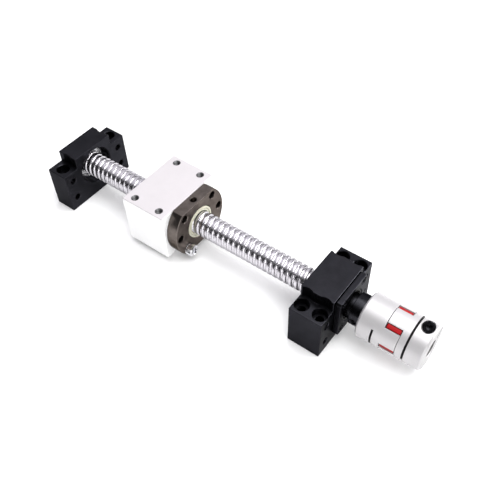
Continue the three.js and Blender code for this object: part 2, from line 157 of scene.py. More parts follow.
def fillet(pts, closed, n=4):
    """Rounds the corners of a profile. A point is (x, r) or (x, r, radius)."""
    out, N = [], len(pts)
    for i, p in enumerate(pts):
        rad = p[2] if len(p) > 2 else 0
        if rad <= 0 or (not closed and i in (0, N - 1)):
            out.append((p[0], p[1]))
            continue
        a, b, c = np.array(pts[i - 1][:2], float), np.array(p[:2], float), np.array(pts[(i + 1) % N][:2], float)
        u, v = a - b, c - b
        lu, lv = np.linalg.norm(u), np.linalg.norm(v)
        u, v = u / lu, v / lv
        ang = math.acos(max(-1, min(1, float(u @ v))))
        d = min(rad / math.tan(ang / 2), lu * 0.49, lv * 0.49)
        rr = d * math.tan(ang / 2)
        cen = b + (u + v) / np.linalg.norm(u + v) * (rr / math.sin(ang / 2))
        s, e = b + u * d - cen, b + v * d - cen
        a0, a1 = math.atan2(s[1], s[0]), math.atan2(e[1], e[0])
        da = (a1 - a0 + math.pi) % (2 * math.pi) - math.pi
        for k in range(n + 1):
            t = a0 + da * k / n
            out.append((cen[0] + rr * math.cos(t), cen[1] + rr * math.sin(t)))
    return out


def lathe_bm(prof, segs=96, closed=False, n=4, mod=None, phase=0.0):
    """Revolves a profile of (x, r) about X. mod(x, r, angle) may change a radius."""
    P = fillet(prof, closed, n)
    bm = bmesh.new()
    rings = []
    for x, r in P:
        if r < 1e-6:
            rings.append([bm.verts.new((x, 0, 0))])
        else:
            ring = []
            for i in range(segs):
                a = phase + 2 * math.pi * i / segs
                rr = mod(x, r, a) if mod else r
                ring.append(bm.verts.new((x, rr * math.cos(a), rr * math.sin(a))))
            rings.append(ring)
    pairs = list(zip(rings, rings[1:]))
    if closed:
        pairs.append((rings[-1], rings[0]))
    for a, b in pairs:
        for i in range(segs):
            j = (i + 1) % segs
            if len(a) == 1 and len(b) == 1:
                continue
            if len(a) == 1:
                bm.faces.new((a[0], b[i], b[j]))
            elif len(b) == 1:
                bm.faces.new((a[i], b[0], a[j]))
            else:
                bm.faces.new((a[i], b[i], b[j], a[j]))
    return bm


def lathe(name, prof, segs=96, closed=False, n=4, mod=None, at=(0, 0, AX), to=(1, 0, 0), phase=0.0):
    bm = lathe_bm(prof, segs, closed, n, mod, phase)
    q = Vector((1, 0, 0)).rotation_difference(Vector(to)).to_matrix().to_4x4()
    bmesh.ops.transform(bm, matrix=Matrix.Translation(Vector(at)) @ q, verts=bm.verts)
    return new_obj(name, bm)


def tube(name, x0, x1, ri, ro, f=0.3, segs=96, **kw):
    return lathe(name, [(x0, ri, f), (x0, ro, f), (x1, ro, f), (x1, ri, f)], segs, True, 3, **kw)


def prism(name, poly, x0, x1, bevel=0.0, segs=3):
    """Extrudes an outline in YZ from x0 to x1."""
    bm = bmesh.new()
    a = [bm.verts.new((x0, y, z)) for y, z in poly]
    b = [bm.verts.new((x1, y, z)) for y, z in poly]
    bm.faces.new(a)
    bm.faces.new(b)
    for i in range(len(poly)):
        j = (i + 1) % len(poly)
        bm.faces.new((a[i], a[j], b[j], b[i]))
    bmesh.ops.recalc_face_normals(bm, faces=bm.faces)
    if bevel:
        es = [e for e in bm.edges if e.calc_face_angle(0) > math.radians(20)]
        bmesh.ops.bevel(bm, geom=es, offset=bevel, segments=segs, profile=0.5, affect="EDGES", clamp_overlap=True)
    return new_obj(name, bm)


def box(name, lo, hi, bevel=0.0, segs=3):
    return prism(name, [(lo[1], lo[2]), (hi[1], lo[2]), (hi[1], hi[2]), (lo[1], hi[2])], lo[0], hi[0], bevel, segs)


def spin(o, deg):
    """Turns a mesh about the screw axis."""
    m = Matrix.Translation((0, 0, AX)) @ Matrix.Rotation(math.radians(deg), 4, "X") @ Matrix.Translation((0, 0, -AX))
    o.data.transform(m)
    return o


def drill(at, to, prof, segs=40):
    return lathe("cutter", [(prof[0][0], 0)] + list(prof) + [(prof[-1][0], 0)], segs, at=at, to=to)


def apply_mods(o):
    dg = bpy.context.evaluated_depsgraph_get()
    dg.update()
    me = bpy.data.meshes.new_from_object(o.evaluated_get(dg))
    o.modifiers.clear()
    old = o.data
    o.data = me
    me.name = o.name
    bpy.data.meshes.remove(old)
    return o


def boolean(o, tools, op="DIFFERENCE"):
    for t in tools:
        m = o.modifiers.new("b", "BOOLEAN")
        m.operation = op
        m.solver = "MANIFOLD"
        m.object = t
        before = len(o.data.polygons)
        apply_mods(o)
        if len(o.data.polygons) == 0:
            raise RuntimeError(o.name + ": a cut left nothing")
    for t in tools:
        me = t.data
        bpy.data.objects.remove(t)
        bpy.data.meshes.remove(me)
    return o


def bevel_where(o, pick, width, segs=3):
    bm = bmesh.new()
    bm.from_mesh(o.data)
    bmesh.ops.dissolve_degenerate(bm, dist=1e-5, edges=bm.edges)
    es = [e for e in bm.edges if len(e.link_faces) == 2 and e.calc_face_angle(0) > math.radians(30) and pick(e)]
    if es:
        bmesh.ops.bevel(bm, geom=es, offset=width, segments=segs, profile=0.5, affect="EDGES", clamp_overlap=True)
    bm.to_mesh(o.data)
    bm.free()
    return o


def merge(name, parts):
    """Joins objects that stay separate shells into one object."""
    bm = bmesh.new()
    for p in parts:
        bm.from_mesh(p.data)
    me = bpy.data.meshes.new(name)
    bm.to_mesh(me)
    bm.free()
    o = bpy.data.objects.new(name, me)
    bpy.context.scene.collection.objects.link(o)
    for p in parts:
        old = p.data
        bpy.data.objects.remove(p)
        bpy.data.meshes.remove(old)
    return o


def done(o, body, nodes, mat, slot, angle=32, flat=True):
    """Scales to metres, shades, gives the material, and rides the body."""
    if isinstance(nodes, str):
        nodes = [nodes]
    me = o.data
    me.transform(Matrix.Scale(MM, 4))
    me.materials.clear()
    for m in mat if isinstance(mat, (list, tuple)) else [mat]:
        me.materials.append(m)
    if flat:
        bm = bmesh.new()
        bm.from_mesh(me)
        bmesh.ops.dissolve_limit(bm, angle_limit=math.radians(0.4), verts=bm.verts, edges=bm.edges)
        bm.to_mesh(me)
        bm.free()
    me.shade_smooth()
    me.set_sharp_from_angle(angle=math.radians(angle))
    if flat:
        w = o.modifiers.new("n", "WEIGHTED_NORMAL")
        w.keep_sharp = True
        w.weight = 100
        apply_mods(o)
    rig.ride(o, body)
    if nodes:
        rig.replaces(o, *nodes)
    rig.slot(o, slot)
    return o


# ------------------------------------------------------------------ materials
def nodes_of(name):
    m = bpy.data.materials.new(name)
    m.use_nodes = True
    nt = m.node_tree
    return m, nt, nt.nodes["Principled BSDF"]


def N(nt, kind, **kw):
    n = nt.nodes.new(kind)
    for k, v in kw.items():
        if k in n.inputs:
            n.inputs[k].default_value = v
        else:
            setattr(n, k, v)
    return n


def ramp(nt, fac, stops):
    r = nt.nodes.new("ShaderNodeValToRGB")
    el = r.color_ramp.elements
    while len(el) < len(stops):
        el.new(0.5)
    for e, (p, c) in zip(el, stops):
        e.position = p
        e.color = (c[0], c[1], c[2], 1) if isinstance(c, (tuple, list)) else (c, c, c, 1)
    nt.links.new(fac, r.inputs["Fac"])
    return r


def coords(nt, scale=(1, 1, 1)):
    t = nt.nodes.new("ShaderNodeTexCoord")
    mp = nt.nodes.new("ShaderNodeMapping")
    mp.inputs["Scale"].default_value = scale
    nt.links.new(t.outputs["Object"], mp.inputs["Vector"])
    return mp.outputs["Vector"]


def noise(nt, vec, scale, detail=4.0, rough=0.55, dim="3D"):
    n = nt.nodes.new("ShaderNodeTexNoise")
    n.inputs["Scale"].default_value = scale
    n.inputs["Detail"].default_value = detail
    n.inputs["Roughness"].default_value = rough
    nt.links.new(vec, n.inputs["Vector"])
    return n.outputs["Fac"]


def bump(nt, h, strength, dist, normal=None):
    b = nt.nodes.new("ShaderNodeBump")
    b.inputs["Strength"].default_value = strength
    b.inputs["Distance"].default_value = dist
    nt.links.new(h, b.inputs["Height"])
    if normal:
        nt.links.new(normal, b.inputs["Normal"])
    return b.outputs["Normal"]


def surface(name, base, rough, metal, *, vary=0.12, rvary=0.08, scale=60.0, stretch=(1, 1, 1), fine=0.0, fine_scale=1500.0, fine_stretch=(1, 1, 1),
            dist=2e-5, spec=None, tint=None, edge=0.0, edge_col=None, coat=0.0, coat_rough=0.1, aniso=0.0, sub=0.0, dark=None):
    """A metal or plastic with slow colour and gloss variation, a fine bump and brighter or darker edges."""
    m, nt, p = nodes_of(name)
    L = nt.links.new
    v = coords(nt, stretch)
    n1 = noise(nt, v, scale, 5.0, 0.6)
    lo = dark or tuple(c * (1 - vary) for c in base)
    hi = tuple(min(1, c * (1 + vary)) for c in base)
    col = ramp(nt, n1, [(0.3, lo), (0.7, hi)]).outputs["Color"]
    if edge:
        g = nt.nodes.new("ShaderNodeNewGeometry")
        e = ramp(nt, g.outputs["Pointiness"], [(0.51, 0.0), (0.56, edge)])
        mx = nt.nodes.new("ShaderNodeMix")
        mx.data_type = "RGBA"
        L(e.outputs["Color"], mx.inputs[0])
        L(col, mx.inputs[6])
        mx.inputs[7].default_value = (*(edge_col or hi), 1)
        col = mx.outputs[2]
    L(col, p.inputs["Base Color"])
    n2 = noise(nt, v, scale * 3.1, 3.0, 0.5)
    r = nt.nodes.new("ShaderNodeMapRange")
    r.inputs["To Min"].default_value = max(0.02, rough - rvary)
    r.inputs["To Max"].default_value = min(1, rough + rvary)
    L(n2, r.inputs["Value"])
    L(r.outputs["Result"], p.inputs["Roughness"])
    p.inputs["Metallic"].default_value = metal
    if spec is not None:
        p.inputs["Specular IOR Level"].default_value = spec
    if tint is not None:
        p.inputs["Specular Tint"].default_value = (tint, tint, tint, 1)
    if coat:
        p.inputs["Coat Weight"].default_value = coat
        p.inputs["Coat Roughness"].default_value = coat_rough
    if aniso:
        p.inputs["Anisotropic"].default_value = aniso
    if sub:
        p.inputs["Subsurface Weight"].default_value = sub
        p.inputs["Subsurface Radius"].default_value = (0.002, 0.0006, 0.0004)
    if fine:
        v2 = coords(nt, fine_stretch)
        L(bump(nt, noise(nt, v2, fine_scale, 2.0, 0.5), fine, dist), p.inputs["Normal"])
    return m


def turned_metal(name, base, rough, lines=4200.0, strength=0.25, dist=6e-6, vary=0.06, rvary=0.05, metal=1.0, tint=None):
    """Turned or ground round work: fine rings around the X axis."""
    m, nt, p = nodes_of(name)
    L = nt.links.new
    v = coords(nt, (1, 0.02, 0.02))
    n = noise(nt, v, lines, 3.0, 0.7)
    v2 = coords(nt, (1, 1, 1))
    slow = noise(nt, v2, 70.0, 4.0, 0.6)
    lo, hi = tuple(c * (1 - vary) for c in base), tuple(min(1, c * (1 + vary)) for c in base)
    L(ramp(nt, slow, [(0.3, lo), (0.7, hi)]).outputs["Color"], p.inputs["Base Color"])
    r = nt.nodes.new("ShaderNodeMapRange")
    r.inputs["To Min"].default_value = max(0.02, rough - rvary)
    r.inputs["To Max"].default_value = rough + rvary
    L(n, r.inputs["Value"])
    L(r.outputs["Result"], p.inputs["Roughness"])
    p.inputs["Metallic"].default_value = metal
    if tint is not None:
        p.inputs["Specular Tint"].default_value = (tint, tint, tint, 1)
    L(bump(nt, n, strength, dist), p.inputs["Normal"])
    return m


MAT = {
    "block": surface("black_oxide_block", (0.023, 0.023, 0.027), 0.32, 1.0, vary=0.16, rvary=0.06, scale=90, fine=0.3, fine_scale=2600, dist=1.0e-5, tint=0.5),
    "black": surface("black_oxide_steel", (0.020, 0.020, 0.023), 0.27, 1.0, vary=0.2, rvary=0.05, scale=160, fine=0.2, fine_scale=3000, dist=8e-6, tint=0.42),
    "screw": turned_metal("ground_screw_steel", (0.585, 0.57, 0.60), 0.26, lines=5200, strength=0.12, dist=4e-6, vary=0.03, rvary=0.04, tint=0.35),
    "nut": surface("nut_steel", (0.124, 0.107, 0.097), 0.32, 1.0, tint=0.3, vary=0.26, rvary=0.08, scale=120, fine=0.3, fine_scale=1500, fine_stretch=(0.25, 1, 1), dist=1e-5),
    "ring": turned_metal("bearing_steel", (0.60, 0.60, 0.61), 0.16),
    "shield": turned_metal("bearing_shield_steel", (0.50, 0.50, 0.51), 0.26, lines=3000, strength=0.3),
    "cage": surface("cage_steel", (0.45, 0.43, 0.40), 0.34, 1.0, scale=200, fine=0.2),
    "ball": surface("ball_steel", (0.70, 0.70, 0.72), 0.05, 1.0, vary=0.02, rvary=0.02, scale=300),
    "wiper": surface("wiper_plastic", (0.50, 0.49, 0.385), 0.5, 0.0, vary=0.08, scale=140, fine=0.3, fine_scale=2200, dist=1.5e-5, sub=0.05),
    "insert": surface("insert_steel", (0.36, 0.34, 0.32), 0.36, 1.0, scale=200, fine=0.25),
    "house": surface("housing_aluminium", (0.55, 0.524, 0.54), 0.45, 0.15, vary=0.02, rvary=0.05, scale=110, fine=0.4, fine_scale=3200, dist=1e-5),
    # housing sides: the same aluminium painted far brighter than the top, painted light
    "house_side_painted_light": surface("housing_side_painted_light", (0.90, 0.90, 0.90), 0.5, 0.0, vary=0.015, rvary=0.05, scale=110, fine=0.4, fine_scale=3200, dist=1e-5),
    # slit walls: near-black painted in, painted shade in the narrow saw cuts
    "cut": surface("coupling_slit_painted_shade", (0.035, 0.035, 0.036), 0.5, 0.3, vary=0.1, scale=300, fine=0.2),
    # motor-side end face: the aluminium painted darker, painted shade on the face turned towards the lights
    "alu_end_painted_shade": surface("coupling_end_face_painted_shade", (0.34, 0.335, 0.335), 0.5, 0.3, vary=0.04, scale=200, fine=0.3, fine_scale=2600, dist=8e-6),
    # bore walls: the aluminium painted darker, painted shade inside the bore
    "bore": surface("coupling_bore_painted_shade", (0.24, 0.235, 0.23), 0.35, 0.8, vary=0.1, scale=300, fine=0.2),
    # tapped hole walls: dark grey painted in, painted shade inside the holes
    "hole": surface("housing_hole_wall_painted_shade", (0.16, 0.16, 0.165), 0.4, 0.8, vary=0.1, scale=300, fine=0.2),
    "alu": turned_metal("coupling_aluminium", (0.485, 0.475, 0.483), 0.44, lines=2600, strength=0.3, dist=8e-6, vary=0.03, rvary=0.06, metal=0.45),
    "red": surface("red_elastomer", (0.30, 0.004, 0.006), 0.55, 0.0, vary=0.12, scale=200, fine=0.35, fine_scale=1800, dist=2e-5, spec=0.22),
    "zinc": surface("zinc_screw", (0.62, 0.62, 0.64), 0.14, 1.0, vary=0.05, rvary=0.05, scale=260, fine=0.12, fine_scale=2200, dist=8e-6),
    "rubber": surface("seal_rubber", (0.016, 0.016, 0.016), 0.62, 0.0, vary=0.2, scale=300, fine=0.3, fine_scale=2000, dist=2e-5, spec=0.3),
}

# ------------------------------------------------------------------ support blocks
W, SH, TOP, NECK = 35.0, 38.0, 48.0, 20.0
BLOCK = [(-W, 0), (W, 0), (W, SH), (NECK, SH), (NECK, TOP), (-NECK, TOP), (-NECK, SH), (-W, SH)]


def block(name, x0, x1, bolt_x, face_mid):
    o = prism(name, BLOCK, x0, x1, 0.55, 3)
    cuts = []
    for s in (-1, 1):
        for x in bolt_x:
            cuts.append(drill((x, s * 27.0, 0), (0, 0, 1), [(-2, 4.3), (0.0, 4.0), (0.7, 3.3), (31.95, 3.3), (31.95, 5.5), (37.6, 5.5), (38.02, 5.95), (38.03, 8.4), (60, 8.4)], 56))
        for z in (11.0, 29.0):
            cuts.append(drill((x0, s * 27.0, z), (1, 0, 0), [(-2, 3.25 + 2), (0, 3.25), (0.5, 2.75), (x1 - x0 - 0.5, 2.75), (x1 - x0, 3.25), (x1 - x0 + 2, 5.25)], 36))
    return boolean(o, cuts)


x0, x1 = bx("bf_housing")
o = block("bf_block", x0, x1, [(x0 + x1) / 2], None)
boolean(o, [drill((0, 0, AX), (1, 0, 0), [(x0 - 2, 18.6), (x0, 16.6), (x0 + 0.6, 16.0), (x1 - 0.8, 16.0), (x1, 16.8), (x1 + 2, 18.8)], 96)])
done(o, "supports", "bf_housing", MAT["block"], "black_oxide_block", 28)

x0, x1 = bx("bk_housing")
o = block("bk_block", x0, x1, [x0 + 6, x0 + 21], None)
boolean(o, [drill((0, 0, AX), (1, 0, 0), [(x0 - 2, 15.5), (x0, 13.5), (x0 + 0.5, 13.0), (x0 + 6, 13.0), (x0 + 6, 16.0), (x1 - 0.5, 16.0), (x1, 16.5), (x1 + 2, 18.5)], 96)]
        + [drill((x1 - 9, a * 13.6, AX + b * 13.6), (1, 0, 0), [(0, 1.45), (8.6, 1.45), (9, 1.8), (11, 3.8)], 24) for a in (-1, 1) for b in (-1, 1)])
done(o, "supports", "bk_housing", MAT["block"], "black_oxide_block", 28)

# cover plate, its pilot and four screws
x0, x1 = bx("bk_cover_plate")
face0, h, c = 13.5 + 0.1, 18.0, 1.6
plate = prism("bk_cover", [(-h + c, AX - h), (h - c, AX - h), (h, AX - h + c), (h, AX + h - c), (h - c, AX + h), (-h + c, AX + h), (-h, AX + h - c), (-h, AX - h + c)], face0, x1, 0.45, 3)
boolean(plate, [lathe("pilot", [(x0, 0), (x0, 15.7, 0.3), (face0 + 1, 15.7), (face0 + 1, 0)], 96)], "UNION")
boolean(plate, [drill((0, 0, AX), (1, 0, 0), [(x0 - 2, 13), (x1 - 0.6, 13.0), (x1, 13.6), (x1 + 2, 15.6)], 96)]
        + [drill((0, a * 13.6, AX + b * 13.6), (1, 0, 0), [(5, 1.7), (x1 - 3.2, 1.7), (x1 - 3.2, 3.1), (x1 - 0.3, 3.1), (x1, 3.4), (x1 + 2, 5.4)], 36) for a in (-1, 1) for b in (-1, 1)])
done(plate, "supports", "bk_cover_plate", MAT["block"], "black_oxide_block", 28)


def knurl(r0, teeth, depth, xa, xb):
    def f(x, r, a):
        if xa < x < xb and r > r0 - 0.05:
            t = (a * teeth / (2 * math.pi)) % 1.0
            return r - depth * abs(2 * t - 1)
        return r
    return f


def cap_screw(name, at, to, head_r, head_h, shank_r, shank_l, hex_r, hex_d, teeth=36, pitch=1.0, knurled=True):
    """A socket cap screw: knurled head with a hex socket, and a shank with a real thread form. It points along -to."""
    k = knurl(head_r, teeth, head_r * 0.035, 0.5, head_h - 0.6) if knurled else None
    ch = min(0.6, head_r * 0.13)
    prof = [(0, 0), (0, head_r - 0.15, 0.1), (0.45, head_r), (0.55, head_r), (head_h * 0.5, head_r), (head_h - ch - 0.15, head_r), (head_h - ch, head_r, 0.2), (head_h, head_r - ch, 0.2), (head_h, 0)]
    o = lathe(name, prof, teeth * 4, at=at, to=to, mod=k)
    hexc = lathe("cutter", [(head_h - hex_d - hex_r * 0.3, 0), (head_h - hex_d, hex_r), (head_h + 1, hex_r), (head_h + 1, 0)], 6, at=at, to=to)
    rim = drill(at, to, [(head_h - 0.35, hex_r * 0.86), (head_h + 0.2, hex_r * 1.12)], 36)
    boolean(o, [hexc, rim])
    n = 20
    core = shank_r * 0.86
    turns = shank_l / pitch
    bm = bmesh.new()
    rows = int(turns) * 3
    cols = []
    for i in range(n):
        a = 2 * math.pi * i / n
        col = []
        for j in range(rows + 1):
            x = -shank_l + (j / 3.0 + i / n) * pitch
            r = (shank_r, shank_r, core)[j % 3] if 0 < j < rows else core
            col.append(bm.verts.new((min(x, 0.05), r * math.cos(a), r * math.sin(a))))
        cols.append(col)
    for i in range(n - 1):
        for j in range(rows):
            bm.faces.new((cols[i][j], cols[i + 1][j], cols[i + 1][j + 1], cols[i][j + 1]))
    for j in range(rows - 3):
        bm.faces.new((cols[n - 1][j], cols[0][j + 3], cols[0][j + 4], cols[n - 1][j + 1]))
    bm.faces.new([cols[i][0] for i in range(n)] + [cols[0][3], cols[0][2], cols[0][1]])
    bm.faces.new([cols[i][rows] for i in range(n - 1, -1, -1)] + [cols[n - 1][rows - k2] for k2 in (1, 2)] + [cols[n - 1][rows - 3]])
    q = Vector((1, 0, 0)).rotation_difference(Vector(to)).to_matrix().to_4x4()
    bmesh.ops.transform(bm, matrix=Matrix.Translation(Vector(at)) @ q, verts=bm.verts)
    s = new_obj("shank", bm)
    return merge(name, [o, s])


for i, (a, b) in enumerate([(-1, -1), (-1, 1), (1, -1), (1, 1)]):
    s = cap_screw(f"bk_cover_screw_m3_{i + 1}", (15.25, a * 13.6, AX + b * 13.6), (1, 0, 0), 2.75, 2.6, 1.45, 8.0, 1.45, 1.4, 24, 0.5)
    done(s, "supports", f"bk_cover_screw_{i + 1}", MAT["black"], "black_oxide_steel")

# seals, collars, lock nut
x0, x1 = bx("bk_seal_rear")
done(lathe("bk_seal_ring_rear", [(x0, 10.9, 0.2), (x0, 12.9, 0.3), (x1, 12.9, 0.3), (x1, 11.6), (x1 - 1.2, 10.9), ((x0 + x1) / 2, 10.15, 0.2)], 96, True), "supports", "bk_seal_rear", MAT["rubber"], "seal_rubber")
x0, x1 = bx("bk_seal_front")
done(lathe("bk_seal_ring_front", [(x0, 10.9, 0.2), (x0, 12.9, 0.3), (x1, 12.9, 0.3), (x1, 11.7, 0.2), (x1 - 1.4, 11.0), ((x0 + x1) / 2, 10.15, 0.2)], 96, True), "supports", "bk_seal_front", MAT["rubber"], "seal_rubber")
x0, x1 = bx("bk_collar_rear")
done(tube("bk_spacer_rear", x0, x1, 7.6, 10.0, 0.4), "screw", "bk_collar_rear", MAT["black"], "black_oxide_steel")
x0, x1 = bx("bk_collar_front")
done(tube("bk_spacer_front", x0, x1, 7.6, 10.0, 0.4), "screw", "bk_collar_front", MAT["black"], "black_oxide_steel")
x0, x1 = bx("bk_lock_nut")
nut = lathe("bk_locknut", [(x0, 7.6, 0.4), (x0, 12.5, 0.5), (x1, 12.5, 0.5), (x1, 7.6, 0.4)], 128, True)
boolean(nut, [drill((25.5, 0, AX), (0, -1, 0), [(5, 2.05), (12.0, 2.05), (12.8, 2.9)], 30), drill((25.5, 0, AX), (0, 1, 0), [(5, 2.05), (12.0, 2.05), (12.8, 2.9)], 30)])
done(nut, "screw", "bk_lock_nut", MAT["black"], "black_oxide_steel", 28)
setx = lathe("bk_locknut_set_screw", [(8.0, 0), (8.0, 1.4), (8.5, 1.95), (11.4, 1.95, 0.2), (11.6, 1.7), (11.6, 0)], 32, at=(25.5, 0, AX), to=(0, -1, 0))
boolean(setx, [lathe("cutter", [(9.8, 0), (10.0, 1.1), (12.5, 1.1), (12.5, 0)], 6, at=(25.5, 0, AX), to=(0, -1, 0))])
done(setx, "screw", "bk_lock_nut_set_screw", MAT["black"], "black_oxide_steel")


# ------------------------------------------------------------------ bearings
def bearing(prefix, x0, body_in, body_cage, angular):
    a, b = x0 + 0.1, x0 + 8.9
    c = x0 + 4.5
    rb, orbit, nb = 2.38, 11.75, 9 if not angular else 12
    groove_o = [(c + 2.6 * math.cos(t), orbit + 2.45 * math.sin(t)) for t in np.linspace(math.radians(38), math.radians(142), 9)]
    groove_i = [(c + 2.6 * math.cos(t), orbit - 2.45 * math.sin(t)) for t in np.linspace(math.radians(38), math.radians(142), 9)]
    outer = [(a, 12.9 if angular else 13.3, 0.25), (a, 15.9, 0.5), (b, 15.9, 0.5), (b, 14.0 if angular else 13.3, 0.25)] + groove_o
    inner = [(a, 7.6, 0.5), (a, 9.5 if angular else 10.2, 0.25)] + groove_i[::-1] + [(b, 10.4 if angular else 10.2, 0.25), (b, 7.6, 0.5)]
    done(lathe(prefix + "_race_outer", outer, 96, True), "supports", prefix + "_outer_ring", MAT["ring"], "bearing_steel")
    done(lathe(prefix + "_race_inner", inner, 96, True), body_in, prefix + "_inner_ring", MAT["ring"], "bearing_steel")
    parts = [lathe("cg", [(c - 1.0, 11.15, 0.1), (c - 1.0, 12.25, 0.1), (c + 1.0, 12.25, 0.1), (c + 1.0, 11.15, 0.1)], 72, True)]
    for i in range(nb):
        t = 2 * math.pi * i / nb
        bm = bmesh.new()
        bmesh.ops.create_uvsphere(bm, u_segments=20, v_segments=12, radius=min(rb, 2.2))
        bmesh.ops.translate(bm, vec=(c, orbit * math.cos(t), AX + orbit * math.sin(t)), verts=bm.verts)
        parts.append(new_obj("ball", bm))
    cg = merge(prefix + "_balls_and_cage", parts)
    done(cg, body_cage, prefix + "_balls_cage", [MAT["cage"], MAT["ball"]], "cage_steel")
    first = 72 * 4 * 0
    for p in cg.data.polygons:
        d = p.center
        r = math.hypot(d.y, d.z - AX * MM) / MM
        if abs(d.x / MM - c) > 1.02 or not 11.1 < r < 12.3:
            p.material_index = 1


bearing("bf_bearing", -257.0, "screw", "bf_cage", False)
bearing("bk_bearing_rear", -7.5, "screw", "bk_rear_cage", True)
bearing("bk_bearing_front", 1.5, "screw", "bk_front_cage", True)
for nm, x, s in (("rear", -256.25, -1), ("front", -248.75, 1)):
    # a pressed shield: rolled outer edge, a step, and a flat web
    prof = [(x - 0.12 * s, 13.15), (x + 0.22 * s, 13.1), (x + 0.3 * s, 12.7), (x + 0.12 * s, 12.3), (x + 0.12 * s, 11.0), (x - 0.02 * s, 10.6), (x - 0.12 * s, 10.35), (x - 0.3 * s, 10.4), (x - 0.2 * s, 10.75), (x - 0.1 * s, 11.1), (x - 0.1 * s, 12.3), (x + 0.05 * s, 12.75), (x - 0.25 * s, 13.0)]
    done(lathe("bf_shield_" + nm, prof, 96, True, 0), "supports", "bf_bearing_shield_" + nm, MAT["shield"], "bearing_shield_steel", 40)

# snap ring on the floating end
ring = tube("bf_circlip", -258.3, -257.3, 7.2, 9.0, 0.12, 96)
ears = [lathe("ear", [(-258.3, 0), (-258.3, 1.7, 0.1), (-257.3, 1.7, 0.1), (-257.3, 0)], 32, at=(0, 9.4 * math.sin(math.radians(s * 15)), AX - 9.4 * math.cos(math.radians(15)))) for s in (-1, 1)]
boolean(ring, ears, "UNION")
boolean(ring, [box("gapcut", (-260, -1.1, AX - 12), (-256, 1.1, AX - 5))] + [drill((-260, 9.4 * math.sin(math.radians(s * 15)), AX - 9.4 * math.cos(math.radians(15))), (1, 0, 0), [(0, 0.75), (5, 0.75)], 20) for s in (-1, 1)])
done(ring, "screw", "bf_snap_ring", MAT["black"], "black_oxide_steel")

# ------------------------------------------------------------------ screw
LEAD = 5.0
HELIX0 = -258.0 + 3.375  # groove centre at angle 0
TH0, TH1 = -248.0, -13.5


def groove_profile():
    """One lead of the ball track: land, rounded edge, two arcs meeting at the bottom, rounded edge. (offset from the groove centre, radius)"""
    R, rb = 10.0, 1.68
    cy, off = 10.22, 0.12
    pts = []
    for t in np.linspace(0, 1, 7):
        a = math.radians(188 + t * (268 - 188))
        pts.append((off + rb * math.cos(a), cy + rb * math.sin(a)))
    left = [(x, r) for x, r in pts if r < R - 0.07]
    right = [(-x, r) for x, r in reversed(left)]
    e = left[0][0]
    lip = [(e - 0.20, R), (e - 0.06, R - 0.035)]
    land = [(-LEAD / 2, R)]
    return land + lip + left + right + [(-x, r) for x, r in reversed(lip)]


def thread_obj(name, seg=56):
    prof = groove_profile()
    k = len(prof)
    leads = int((TH1 - TH0) / LEAD) + 4
    start = math.floor((TH0 - HELIX0) / LEAD) - 1
    rows = leads * k
    bm = bmesh.new()
    cols = []
    for i in range(seg):
        a = 2 * math.pi * i / seg
        col = []
        for j in range(rows + 1):
            s, r = prof[j % k]
            x = HELIX0 + (start + j // k) * LEAD + s + LEAD * i / seg
            col.append(bm.verts.new((x, r * math.cos(a), AX + r * math.sin(a))))
        cols.append(col)
    for i in range(seg - 1):
        A, B = cols[i], cols[i + 1]
        for j in range(rows):
            bm.faces.new((A[j], B[j], B[j + 1], A[j + 1]))
    A, B = cols[-1], cols[0]
    for j in range(rows - k):
        bm.faces.new((A[j], B[j + k], B[j + k + 1], A[j + 1]))
    for x, n, keep in ((TH0, (-1, 0, 0), 1), (TH1, (1, 0, 0), -1)):
        g = bm.verts[:] + bm.edges[:] + bm.faces[:]
        r = bmesh.ops.bisect_plane(bm, geom=g, plane_co=(x, 0, 0), plane_no=n, clear_outer=True)
        es = [e for e in r["geom_cut"] if isinstance(e, bmesh.types.BMEdge)]
        bmesh.ops.contextual_create(bm, geom=es)
    return new_obj(name, bm)


def chamfer_ends(o):
    c = lathe("trim", [(TH0 - 1, 0), (TH0 - 1, 8.0), (TH0, 9.0), (TH0 + 1.4, 10.4), (TH1 - 1.4, 10.4), (TH1, 9.0), (TH1 + 1, 8.0), (TH1 + 1, 0)], 96)
    return boolean(o, [c], "INTERSECT")


sc = thread_obj("screw_thread")
try:
    chamfer_ends(sc)
except RuntimeError:
    bpy.data.objects.remove(sc)
    sc = thread_obj("screw_thread")
m_pitch = []
x = 21.0
prof = [(TH1 - 0.5, 0), (TH1 - 0.5, 7.5), (20.6, 7.5)]
while x < 29.0:  # fine thread under the lock nut
    prof += [(x, 7.5), (x + 0.35, 7.15), (x + 0.5, 7.15), (x + 0.85, 7.5)]
    x += 1.0
prof += [(29.2, 7.5), (29.2, 6.0, 0.2), (47.4, 6.0), (48.0, 5.4), (48.0, 0)]
j1 = lathe("j1", prof, 96)
j0 = lathe("j0", [(-261, 0), (-261, 6.9), (-260.4, 7.5), (-258.6, 7.5), (-258.6, 7.0), (-257.1, 7.0), (-257.1, 7.5), (TH0 + 0.5, 7.5), (TH0 + 0.5, 0)], 96)
boolean(j0, [drill((-261.5, 0, AX), (1, 0, 0), [(0, 2.2), (0.5, 1.9), (2.2, 0.6), (3.6, 0.55)], 32)])
done(merge("ball_screw", [sc, j1, j0]), "screw", "ball_screw_shaft", MAT["screw"], "ground_screw_steel", 38, False)

